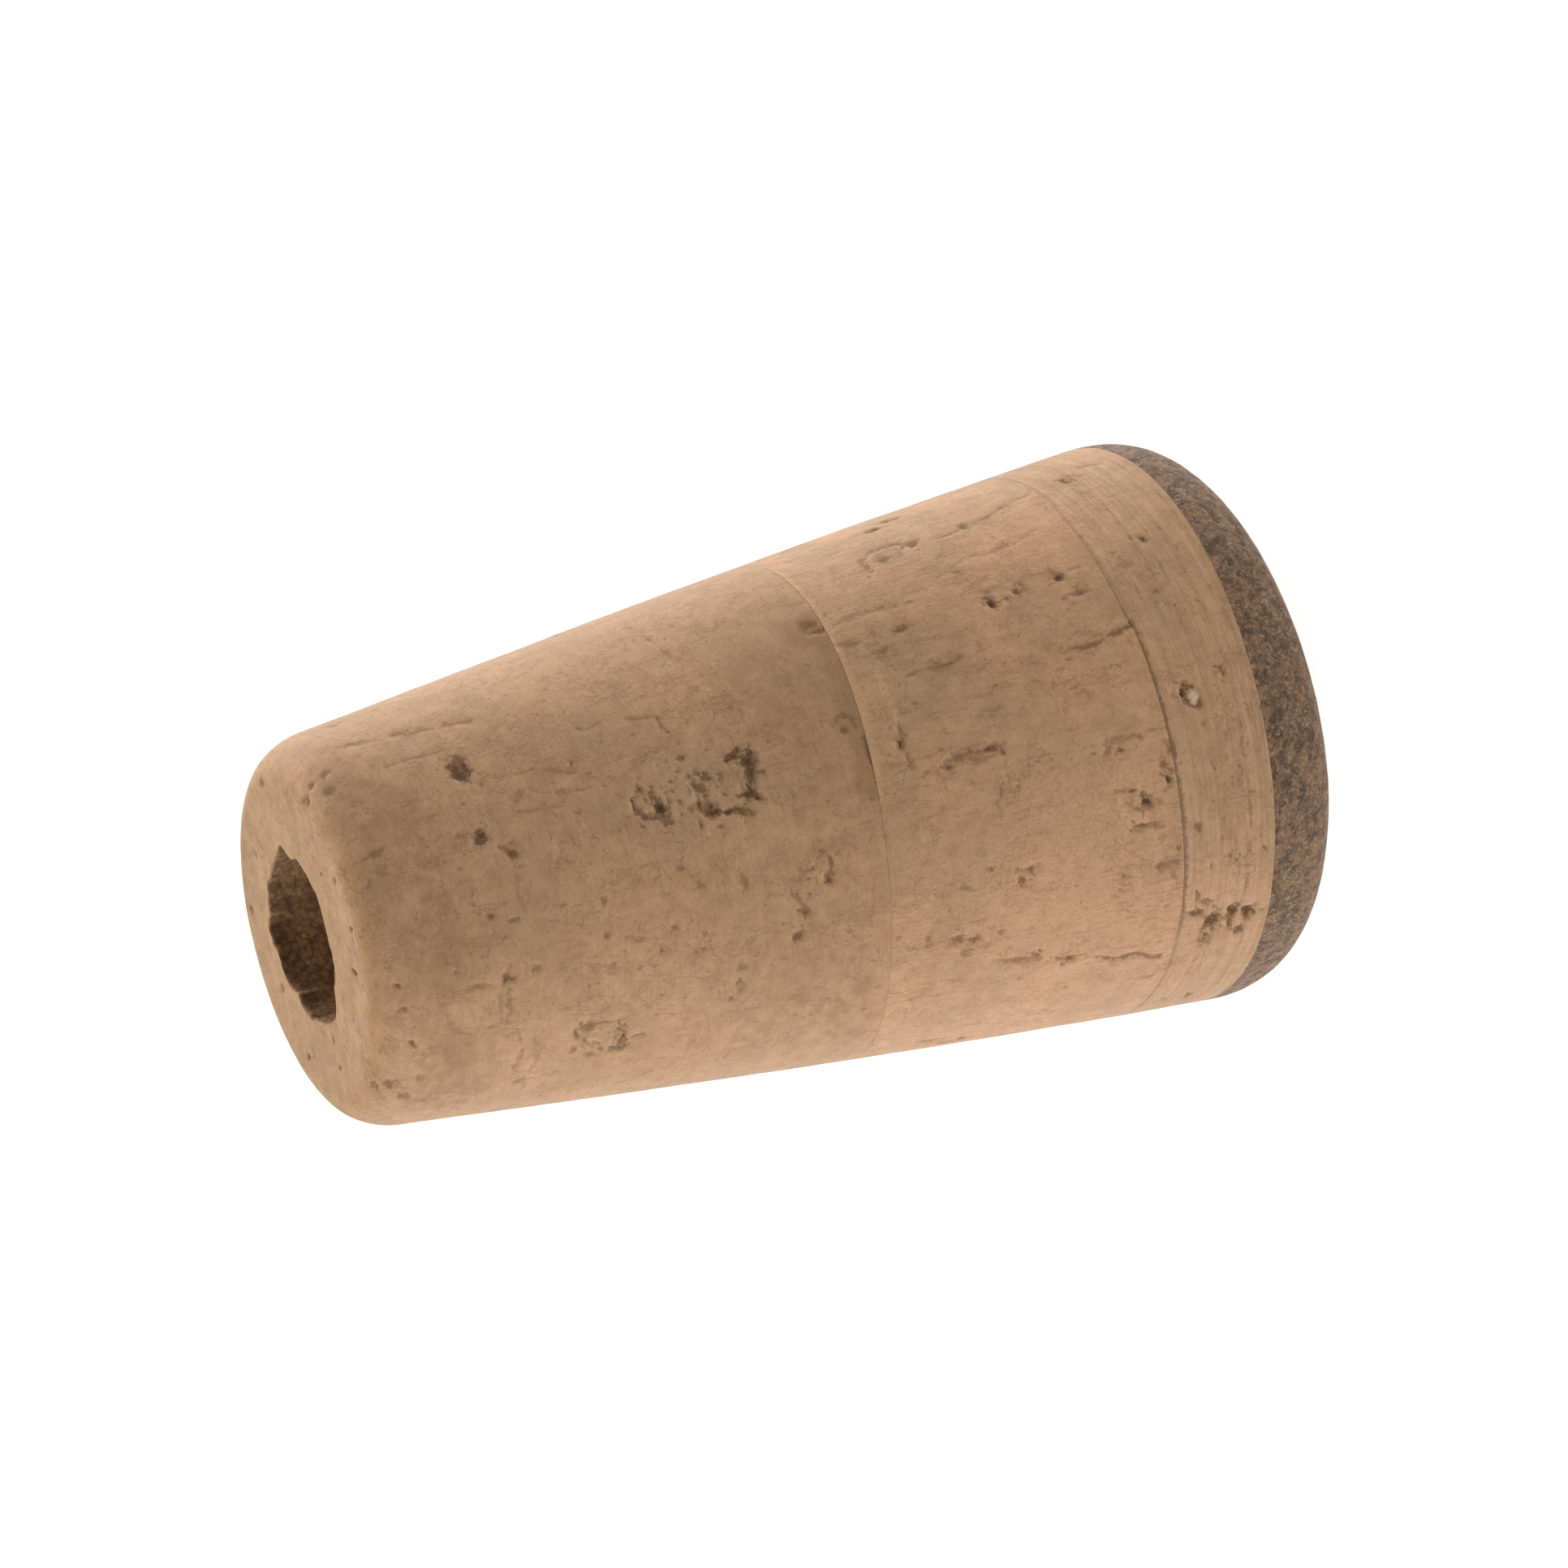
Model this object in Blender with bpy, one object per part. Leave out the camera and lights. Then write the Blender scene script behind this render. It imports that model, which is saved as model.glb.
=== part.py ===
"""Tapered cork pen holder: four glued rings turned to one cone, with a bore from end to end.

It stands on its dark rubberised ring. +Z runs up the bore, and the origin is the middle of
the lower face. All sizes are in metres.
"""
from math import cos, pi, sqrt, tau

import bmesh
import bpy

# The turned body
LENGTH = 0.0500
BASE_RADIUS = 0.01507       # where the straight taper would meet the lower face
NOSE_RADIUS = 0.00956       # where it would meet the upper face
CROWN = 0.000295            # how far the side bulges beyond the straight taper
CROWN_SHIFT = 1.2           # over 1 moves the fullest height towards the base
BORE_RADIUS = 0.00425

# The sanded edges, each a quarter ellipse taken off the side
BASE_ROUND_HEIGHT = 0.0032
BASE_ROUND_DEPTH = 0.00185
NOSE_ROUND_HEIGHT = 0.0024
NOSE_ROUND_DEPTH = 0.0017

# The heights of the three glued joints, from the base up
RUBBER_JOINT = 0.00356
THIN_JOINT = 0.00881
NOSE_JOINT = 0.02374
GLUE_GAP = 0.0003

# Mesh fineness
SEGMENTS = 64
ROUND_STEPS = 6
TAPER_STEPS = 9


def clear_scene():
    """Start from an empty scene."""
    for obj in list(bpy.data.objects):
        bpy.data.objects.remove(obj, do_unlink=True)


def finish(name, colour, roughness):
    """A plain non-metallic material."""
    material = bpy.data.materials.new(name)
    material.use_nodes = True
    shader = material.node_tree.nodes["Principled BSDF"]
    shader.inputs["Base Color"].default_value = (*colour, 1.0)
    shader.inputs["Roughness"].default_value = roughness
    shader.inputs["Metallic"].default_value = 0.0
    return material


def round_off(distance, height, depth):
    """What a quarter-ellipse edge takes off the radius, at a distance from its end face."""
    if distance >= height:
        return 0.0
    across = 1.0 - distance / height
    return depth * (1.0 - sqrt(1.0 - across ** 2))


def outer_radius(z):
    """Radius of the finished outside at height z."""
    share = z / LENGTH
    taper = BASE_RADIUS + (NOSE_RADIUS - BASE_RADIUS) * share
    up_side = (1.0 - share) ** CROWN_SHIFT
    bulge = CROWN * 4.0 * up_side * (1.0 - up_side)
    base_edge = round_off(z, BASE_ROUND_HEIGHT, BASE_ROUND_DEPTH)
    nose_edge = round_off(LENGTH - z, NOSE_ROUND_HEIGHT, NOSE_ROUND_DEPTH)
    return taper + bulge - base_edge - nose_edge


def side_heights(low, high):
    """Heights of the outline's points on the outer side, closer together on the edges."""
    turns = [0.5 * pi * step / ROUND_STEPS for step in range(ROUND_STEPS + 1)]
    straight = LENGTH - BASE_ROUND_HEIGHT - NOSE_ROUND_HEIGHT
    heights = [BASE_ROUND_HEIGHT * (1.0 - cos(turn)) for turn in turns]
    heights += [BASE_ROUND_HEIGHT + straight * step / TAPER_STEPS for step in range(1, TAPER_STEPS)]
    heights += [LENGTH - NOSE_ROUND_HEIGHT * (1.0 - cos(turn)) for turn in reversed(turns)]
    inside = [z for z in heights if low + GLUE_GAP < z < high - GLUE_GAP]
    return [low] + inside + [high]


def ring_outline(low, high):
    """Closed outline of one ring: down the outer side, in along the lower face, up the bore."""
    outer = [(outer_radius(z), z) for z in reversed(side_heights(low, high))]
    return outer + [(BORE_RADIUS, low), (BORE_RADIUS, high)]


def turned_ring(name, low, high, material):
    """One ring of the stack, turned about +Z, with its object placed at its lower face."""
    shape = bmesh.new()
    verts = [shape.verts.new((radius, 0.0, z - low)) for radius, z in ring_outline(low, high)]
    edges = [shape.edges.new((verts[i - 1], verts[i])) for i in range(len(verts))]
    bmesh.ops.spin(shape, geom=verts + edges, cent=(0, 0, 0), axis=(0, 0, 1),
                   angle=tau, steps=SEGMENTS, use_merge=True)
    bmesh.ops.recalc_face_normals(shape, faces=shape.faces)
    mesh = bpy.data.meshes.new(name)
    shape.to_mesh(mesh)
    shape.free()
    mesh.shade_smooth()
    mesh.set_sharp_from_angle(angle=pi / 5)
    mesh.materials.append(material)
    ring = bpy.data.objects.new(name, mesh)
    ring.location = (0.0, 0.0, low)
    bpy.context.scene.collection.objects.link(ring)
    return ring


def build():
    """The four rings, from the base up, with a glue gap at each joint."""
    half = GLUE_GAP / 2
    rubber_cork = finish("rubberised_cork", (0.145, 0.105, 0.075), 0.90)
    thin_cork = finish("thin_ring_cork", (0.50, 0.33, 0.205), 0.85)
    rear_cork = finish("rear_ring_cork", (0.47, 0.30, 0.185), 0.85)
    nose_cork = finish("nose_cork", (0.45, 0.285, 0.175), 0.85)
    turned_ring("rubber_cork_base", 0.0, RUBBER_JOINT - half, rubber_cork)
    turned_ring("thin_cork_ring", RUBBER_JOINT + half, THIN_JOINT - half, thin_cork)
    turned_ring("rear_cork_ring", THIN_JOINT + half, NOSE_JOINT - half, rear_cork)
    turned_ring("tapered_cork_nose", NOSE_JOINT + half, LENGTH, nose_cork)


clear_scene()
build()
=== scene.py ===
"""Looks of the tapered cork pen holder: four turned rings, the floor, the light and the camera.

Lengths in the feature lists are millimetres and angles are degrees, because those are the sizes
that cork is read in. Heights run up from the dark ring's face. Angles run from +X towards -Y,
so that 90 faces the camera. Everything that is built is in metres. The glue lines are not
pieces: their colour is in the edges of the rings.
"""

from math import degrees, radians

import bpy
import numpy as np
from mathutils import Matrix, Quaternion, Vector


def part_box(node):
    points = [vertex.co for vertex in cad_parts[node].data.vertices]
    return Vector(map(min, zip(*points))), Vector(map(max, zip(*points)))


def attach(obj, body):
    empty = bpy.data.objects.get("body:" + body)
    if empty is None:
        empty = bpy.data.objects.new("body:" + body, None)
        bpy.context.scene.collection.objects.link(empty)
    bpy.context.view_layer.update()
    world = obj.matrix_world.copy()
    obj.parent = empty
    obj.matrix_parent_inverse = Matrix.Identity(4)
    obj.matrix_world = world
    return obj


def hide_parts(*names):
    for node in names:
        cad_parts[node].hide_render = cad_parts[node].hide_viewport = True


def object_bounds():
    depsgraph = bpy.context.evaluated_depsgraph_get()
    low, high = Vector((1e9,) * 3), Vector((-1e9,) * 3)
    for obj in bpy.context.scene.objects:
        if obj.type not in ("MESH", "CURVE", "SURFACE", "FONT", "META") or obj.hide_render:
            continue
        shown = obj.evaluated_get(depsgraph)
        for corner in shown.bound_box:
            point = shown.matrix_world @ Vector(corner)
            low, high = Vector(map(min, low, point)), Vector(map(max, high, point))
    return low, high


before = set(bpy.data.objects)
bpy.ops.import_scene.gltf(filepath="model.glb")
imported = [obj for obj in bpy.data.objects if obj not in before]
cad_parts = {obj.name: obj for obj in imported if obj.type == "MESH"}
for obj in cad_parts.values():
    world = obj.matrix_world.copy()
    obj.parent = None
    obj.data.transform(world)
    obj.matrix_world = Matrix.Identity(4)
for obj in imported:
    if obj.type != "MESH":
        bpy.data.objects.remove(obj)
cad_low, cad_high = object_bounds()

MM = 0.001

# The turned outline, as the CAD part has it
LENGTH = cad_high.z - cad_low.z
BASE_RADIUS = 0.01507
NOSE_RADIUS = 0.00956
CROWN = 0.000295
CROWN_SHIFT = 1.2
BORE_RADIUS = 0.00425
BASE_ROUND = (0.0032, 0.00185)  # height and depth of the sanded edge
NOSE_ROUND = (0.0024, 0.0017)

# Mesh fineness
AROUND = 400
FRONT_SHARE = 0.33  # points this share closer together towards -Y, wider towards +Y
SIDE_STEP = 0.00016
BORE_STEP = 0.0012
HIDDEN_STEP = 0.0016
GLUE_FILM = 0.000006  # half the thickness of a glue line
SHARP_EDGE = 55  # degrees between two faces that meet at a crisp edge

# The camera, aimed at a point on the bore's axis and rolled so that the holder lies across the view
CAMERA_AIM = Vector((0.00159, 0.0, 0.02338))
CAMERA_DISTANCE = 0.24388
CAMERA_ELEVATION = 23.58
CAMERA_ROLL = -104.28
CAMERA_LENS = 110.87


# ---- numbers that vary smoothly

def smooth(share):
    """0 to 1 with soft ends."""
    share = np.clip(share, 0.0, 1.0)
    return share * share * (3.0 - 2.0 * share)


NOISE_VALUES = 4096  # a power of two
CELL_PRIMES = (73856093, 19349663, 83492791)
CELL_OFFSET = 1000.0  # keeps every cell's number above zero


def lattice_noise(points, size, seed):
    """Smooth noise from -1 to 1 at each point, which changes over about size metres."""
    table = np.random.default_rng(seed).uniform(-1.0, 1.0, NOISE_VALUES)
    scaled = points / size + CELL_OFFSET
    cell = np.floor(scaled).astype(np.int64)
    part = smooth(scaled - cell)
    total = np.zeros(len(points))
    for corner in np.ndindex(2, 2, 2):
        place = cell + np.array(corner)
        spread = place * np.array(CELL_PRIMES)
        key = spread[:, 0] ^ spread[:, 1] ^ spread[:, 2]
        weight = np.prod(np.where(corner, part, 1.0 - part), axis=1)
        total += weight * table[key & (NOISE_VALUES - 1)]
    return total


def wandering(points, size, reach, seed):
    """The points moved up to about reach metres, so that what is drawn on them wanders."""
    shifts = [lattice_noise(points, size, seed + k) for k in range(3)]
    return points + reach * np.stack(shifts, -1)


def rough_noise(points, size, seed, octaves=3):
    """Several sizes of lattice_noise on top of each other."""
    layers = [lattice_noise(points, size / 2 ** k, seed + k) / 2 ** k for k in range(octaves)]
    return sum(layers)


# ---- the turned outline

def round_off(distance, height, depth):
    """What a quarter-ellipse edge takes off the radius, at a distance from its end face."""
    across = np.clip(1.0 - distance / height, 0.0, 1.0)
    return depth * (1.0 - np.sqrt(1.0 - across ** 2))


def outer_radius(z):
    """Radius of the turned outside at height z."""
    z = np.clip(z, 0.0, LENGTH)
    share = z / LENGTH
    up_side = (1.0 - share) ** CROWN_SHIFT
    taper = BASE_RADIUS + (NOSE_RADIUS - BASE_RADIUS) * share
    bulge = CROWN * 4.0 * up_side * (1.0 - up_side)
    return taper + bulge - round_off(z, *BASE_ROUND) - round_off(LENGTH - z, *NOSE_ROUND)


def wave(angle, first, second):
    """A joint's waviness: (millimetres, degrees) once round and the same twice round."""
    once = first[0] * np.cos(np.radians(angle - first[1]))
    twice = second[0] * np.cos(np.radians(2.0 * (angle - second[1])))
    return (once + twice) * MM


def flat(angle):
    """No waviness, at an end face."""
    return np.zeros_like(angle)


def nose_joint(angle):
    """Between the rear ring and the nose."""
    return wave(angle, (0.37, 144), (0.43, 114))


def thin_joint(angle):
    """Between the thin ring and the rear ring, with a small step over part of it."""
    step = 0.18 * smooth((angle - 28) / 14) * smooth((70 - angle) / 3) * MM
    return wave(angle, (0.10, 130), (0.16, 82)) + step


def rubber_joint(angle):
    """Between the dark ring and the thin ring."""
    return wave(angle, (0.28, 156), (0.21, 98))


# ---- marks in the cork's surface

def directions(angle):
    """The directions outwards and around at an angle."""
    turn = -radians(angle)
    return np.array([np.cos(turn), np.sin(turn), 0.0]), np.array([np.sin(turn), -np.cos(turn), 0.0])


def on_side(height, angle):
    """A point on the outside, its direction around and its direction along the bore."""
    z = height * MM
    out, around = directions(angle)
    point = out * outer_radius(z) + np.array([0.0, 0.0, z])
    return point, around, np.array([0.0, 0.0, 1.0])


def on_face(radius, angle):
    """The same on the nose's end face, at a distance in millimetres from the bore's axis."""
    out, around = directions(angle)
    return out * radius * MM + np.array([0.0, 0.0, LENGTH]), around, out


FAR = 9.0  # a reach that is well outside any mark
NEAR_SIZES = 2.6  # points within this many half sizes and
NEAR_MARGIN = 0.3  # this many mm of a pit are measured, and the rest are FAR


def pit_reach(points, place, along, around, edge):
    """0 in the middle of a ragged pit, 1 at its edge. along and around are its half sizes in mm."""
    centre, across_axis, along_axis = place
    near = np.abs(points - centre).max(axis=1) < NEAR_SIZES * MM * max(along, around) + NEAR_MARGIN * MM
    reach = np.full(len(points), FAR)
    if near.any():
        offset = points[near] - centre
        u = offset @ across_axis / (around * MM)
        v = offset @ along_axis / (along * MM)
        reach[near] = np.sqrt(u * u + v * v) * (1.0 + edge[near])
    return reach


def line_reach(points, route, width, edge):
    """0 along a crack through (height, angle) places, 1 at its edge. width is in mm."""
    reach = np.full(len(points), FAR)
    places = [on_side(*stop)[0] for stop in route]
    for start, end in zip(places, places[1:]):
        run = end - start
        share = np.clip((points - start) @ run / (run @ run), 0.0, 1.0)
        gap = np.linalg.norm(points - start - share[:, None] * run, axis=1)
        reach = np.minimum(reach, gap * (1.0 + edge) / (0.5 * width * MM))
    return reach


# Pits: height, angle, half length along the bore, half width around it, depth, in mm and degrees
NOSE_PITS = [
    (43.1, 55.2, 0.52, 0.78, 0.6), (43, 51, 0.16, 0.4, 0.22), (43.45, 74.2, 0.34, 0.33, 0.42),
    (42.3, 81.2, 0.22, 0.26, 0.35), (42.6, 79, 0.14, 0.2, 0.2), (44.1, 95.5, 0.18, 0.2, 0.22),
    (43, 97.6, 0.3, 0.16, 0.18), (43.8, 113.3, 0.24, 0.34, 0.32), (45.1, 112.6, 0.55, 0.12, 0.14),
    (42.3, 112, 0.35, 0.25, 0.12), (38.7, 98.5, 0.14, 0.16, 0.15), (38.6, 107, 0.18, 0.16, 0.15),
    # the large lenticel
    (30.15, 74.8, 0.4, 0.55, 0.6), (30.55, 83, 0.36, 0.28, 0.5), (31.5, 85.5, 0.36, 0.18, 0.45),
    (30.8, 87, 0.3, 0.12, 0.25), (32.4, 84.4, 0.42, 0.36, 0.55), (32.9, 81.8, 0.2, 0.28, 0.4),
    (32.8, 77.9, 0.14, 0.28, 0.4), (33.1, 86.5, 0.1, 0.36, 0.25), (33.3, 72.9, 0.14, 0.14, 0.25),
    (33.05, 69.9, 0.2, 0.16, 0.25), (32.2, 88.6, 0.26, 0.14, 0.18), (34.8, 80.2, 0.32, 0.42, 0.6),
    (35.1, 82.2, 0.24, 0.22, 0.4), (34.5, 84, 0.22, 0.18, 0.3), (36.1, 78.6, 0.14, 0.42, 0.45),
    (35.8, 81, 0.26, 0.14, 0.35), (35.45, 73.8, 0.15, 0.3, 0.4), (34.2, 76.5, 0.16, 0.14, 0.15),
    (31.6, 76.5, 0.14, 0.16, 0.16), (31.9, 79.5, 0.12, 0.14, 0.14), (33.7, 74.4, 0.16, 0.12, 0.14),
    # the small lenticel low down
    (38, 140.6, 0.2, 0.66, 0.5), (38.3, 143.4, 0.22, 0.22, 0.34), (38.4, 136.4, 0.18, 0.2, 0.28),
    (39.9, 132.6, 0.36, 0.15, 0.28), (37.2, 139, 0.34, 0.12, 0.24), (39.6, 143.8, 0.26, 0.14, 0.18),
    (40.5, 134.4, 0.16, 0.3, 0.26), (39.3, 139.6, 0.24, 0.14, 0.14), (40.5, 140, 0.14, 0.18, 0.16),
    (42.8, 149.8, 0.32, 0.2, 0.22), (42.2, 150.8, 0.2, 0.14, 0.16), (43.3, 143.2, 0.16, 0.16, 0.14),
    # near the joint
    (24.1, 45.6, 0.42, 0.42, 0.22), (23.8, 48.6, 0.42, 0.14, 0.22), (24.75, 74, 0.16, 0.18, 0.25),
    (24.2, 80, 0.16, 0.75, 0.12), (28.1, 70, 0.2, 0.22, 0.14), (27.6, 105, 0.18, 0.26, 0.32),
    (28.85, 112, 0.14, 0.34, 0.28), (29.3, 117.6, 0.22, 0.2, 0.28), (28.35, 102.4, 0.18, 0.14, 0.18),
    (31.75, 102.2, 0.14, 0.62, 0.16), (34.6, 95.3, 0.18, 0.14, 0.14), (33.8, 100.6, 0.16, 0.22, 0.14),
    (36.1, 114, 0.14, 0.2, 0.14), (35.4, 109.8, 0.2, 0.14, 0.14), (34, 116, 0.14, 0.14, 0.16),
    (32.3, 127.2, 0.16, 0.24, 0.22), (32.3, 123, 0.14, 0.24, 0.14), (32.6, 131.6, 0.18, 0.28, 0.2),
    (44.9, 34, 0.55, 0.26, 0.16), (33.9, 112, 0.2, 0.16, 0.1), (34.4, 116.4, 0.16, 0.16, 0.1),
    (32.2, 122, 0.2, 0.35, 0.1), (32.1, 129, 0.18, 0.45, 0.1), (31.6, 103, 0.2, 0.4, 0.16),
    (23.95, 113.2, 0.16, 0.18, 0.2), (31.2, 32, 0.14, 0.5, 0.14), (31.1, 39.5, 0.18, 0.4, 0.14),
    (33.1, 61.5, 0.12, 0.3, 0.2), (40, 61.5, 0.32, 0.14, 0.12), (41, 66.8, 0.34, 0.12, 0.1),
    # round the sanded edge
    (46.7, 120, 0.1, 0.55, 0.06), (49, 109, 0.24, 0.16, 0.26), (48.9, 117, 0.16, 0.16, 0.2),
    (48.6, 127.5, 0.16, 0.22, 0.24),
    (49.2, 146, 0.2, 0.3, 0.26), (48.6, 150.5, 0.24, 0.24, 0.22), (48.2, 141, 0.16, 0.16, 0.16),
    (48.9, 38.5, 0.2, 0.3, 0.14), (49.1, 45, 0.18, 0.22, 0.16), (48, 36, 0.2, 0.18, 0.08),
    (48.4, 71, 0.4, 0.1, 0.12), (47.3, 153, 0.2, 0.18, 0.18),
]
# Cracks: the (height, angle) places that each one runs through, its width in mm and its depth in mm
NOSE_LINES = [
    ([(30.95, 73.4), (30.5, 72.2), (30.1, 74), (30.1, 78), (30.45, 82), (30, 84.6)], 0.3, 0.62),
    ([(31, 87.2), (31.2, 85.4), (31.9, 85.6), (32.6, 84.6), (32.9, 82.2)], 0.15, 0.4),
    ([(36.1, 76.4), (36.15, 79.6), (35.6, 81.4), (34.9, 80.6)], 0.14, 0.4),
    ([(47.3, 30), (45.5, 33.6), (44.4, 35.2), (43, 36.6), (41.4, 40.2)], 0.24, 0.14),
    ([(29.2, 104.5), (29.2, 108.5), (28.6, 112), (29.2, 117.7)], 0.14, 0.22),
    ([(40.6, 61.5), (39.4, 62), (38.2, 65)], 0.13, 0.08),
    ([(41.4, 68), (40.2, 67.4), (38.9, 68.6)], 0.12, 0.06),
    ([(42.2, 71.5), (40.8, 71), (39.6, 72.4)], 0.12, 0.06),
    ([(43.3, 130), (42.9, 138), (43.2, 148)], 0.13, 0.1),
    ([(42.5, 133), (42.2, 141), (42.6, 149)], 0.12, 0.08),
    ([(43, 148.5), (42, 150), (41, 149.5)], 0.13, 0.12),
    ([(46.3, 45.6), (44.9, 45.2), (43.4, 46)], 0.14, 0.1),
    ([(37, 54), (35.9, 54.4), (34.6, 55.2), (33.4, 56.2)], 0.13, 0.14),
    ([(33.2, 57.5), (33.05, 63)], 0.14, 0.18),
    ([(31.5, 23), (31.2, 32), (31, 42)], 0.12, 0.1),
    ([(27.55, 99.6), (27.2, 102.6), (27.7, 105.8)], 0.16, 0.26),
    ([(28.3, 102.2), (29.3, 103.8), (29.5, 107), (28.9, 111)], 0.14, 0.14),
    ([(25.3, 72.5), (24.9, 69.8), (24.4, 71.5), (24.1, 76), (24.1, 84.5)], 0.14, 0.14),
    ([(40.7, 136), (40.3, 133.4), (39.6, 131.9), (38.8, 132.6), (38.3, 134.8), (38, 137.6)],
     0.13, 0.24),
    ([(40.6, 66.4), (38.8, 69.6), (37.4, 71.2)], 0.12, 0.08),
    ([(37.6, 109.2), (36.6, 111.2)], 0.12, 0.12),
    ([(47.6, 100), (46.6, 102.5), (46.3, 106)], 0.12, 0.06),
    ([(43.75, 116), (43.6, 121), (43.9, 127)], 0.14, 0.1),
    ([(42.3, 84), (42.5, 90), (42.4, 97)], 0.14, 0.05),
    ([(44.8, 72), (43.6, 73.6)], 0.14, 0.1),
]
# On the end face: radius, angle, half length outwards, half width around, depth
NOSE_FACE_PITS = [
    (6.55, 108, 0.28, 0.2, 0.3), (7.55, 91.5, 0.2, 0.24, 0.26), (7.3, 70, 0.16, 0.2, 0.2),
    (5.9, 62, 0.14, 0.16, 0.16), (8.85, 149.5, 0.3, 0.28, 0.3), (6.5, 174, 0.18, 0.26, 0.2),
    (7.9, 358, 0.22, 0.26, 0.16), (8.3, 40, 0.22, 0.3, 0.26), (8.9, 38, 0.2, 0.2, 0.22),
    (5.1, 172, 0.14, 0.18, 0.12), (6.9, 214, 0.26, 0.22, 0.28), (5.6, 248, 0.2, 0.2, 0.2),
    (7.2, 287, 0.34, 0.2, 0.3), (6.2, 318, 0.18, 0.24, 0.22),
]
REAR_PITS = [
    (22.4, 80.4, 0.17, 0.3, 0.45), (21.9, 48.4, 0.55, 0.1, 0.1), (22.7, 55, 0.4, 0.14, 0.12),
    (20.2, 55.4, 0.36, 0.18, 0.26), (21.5, 58.8, 0.3, 0.14, 0.18), (18.4, 66.2, 0.55, 0.12, 0.16),
    (18.35, 33, 0.3, 0.28, 0.24), (16.5, 31.3, 0.3, 0.26, 0.3), (13.5, 30.6, 0.3, 0.2, 0.28),
    (15.15, 55.4, 0.16, 0.36, 0.45), (14.4, 56, 0.22, 0.12, 0.22), (13.7, 55.2, 0.26, 0.16, 0.32),
    (11.35, 54.4, 0.3, 0.24, 0.45), (10.9, 59.5, 0.5, 0.13, 0.24), (11.5, 71.6, 0.62, 0.13, 0.24),
    (12.8, 72.6, 0.3, 0.14, 0.12), (12.8, 41.8, 0.4, 0.12, 0.16), (15.8, 44.6, 0.3, 0.16, 0.14),
    (20.45, 88.2, 0.22, 0.16, 0.28), (19.3, 87.4, 0.4, 0.34, 0.14), (18.3, 86.6, 0.52, 0.17, 0.45),
    (18.1, 95.8, 0.1, 0.36, 0.16), (17.4, 95.4, 0.3, 0.12, 0.12), (17.6, 115.8, 0.2, 0.18, 0.26),
    (17, 113.4, 0.42, 0.14, 0.26), (21, 126.8, 0.36, 0.28, 0.24), (20.3, 128.2, 0.4, 0.14, 0.26),
    (20.6, 131.2, 0.3, 0.22, 0.18), (20.8, 114.6, 0.24, 0.24, 0.14), (22.5, 125.4, 0.16, 0.34, 0.16),
    (17.5, 135.6, 0.36, 0.13, 0.3), (16.6, 136.6, 0.24, 0.26, 0.36), (14.65, 138.6, 0.4, 0.18, 0.38),
    (12.2, 119.2, 0.2, 0.24, 0.12), (11.6, 93, 0.26, 0.14, 0.24), (11.5, 102, 0.34, 0.14, 0.26),
    (10.75, 105, 0.26, 0.3, 0.62), (11.3, 105.6, 0.16, 0.26, 0.2), (11, 109.7, 0.6, 0.11, 0.28),
    (9.45, 101.7, 0.18, 0.26, 0.42), (9.55, 98.6, 0.14, 0.26, 0.26), (10.3, 119.2, 0.26, 0.22, 0.24),
    (9.4, 119, 0.34, 0.16, 0.22), (9.3, 116.4, 0.12, 0.22, 0.18), (9.2, 95.6, 0.14, 0.3, 0.16),
    (13.1, 78.8, 0.3, 0.1, 0.08), (17.4, 79.4, 0.5, 0.1, 0.08), (9.7, 150.6, 0.34, 0.16, 0.14),
    (19.4, 131, 0.26, 0.12, 0.12), (14.2, 133, 0.3, 0.1, 0.08),
]
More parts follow.
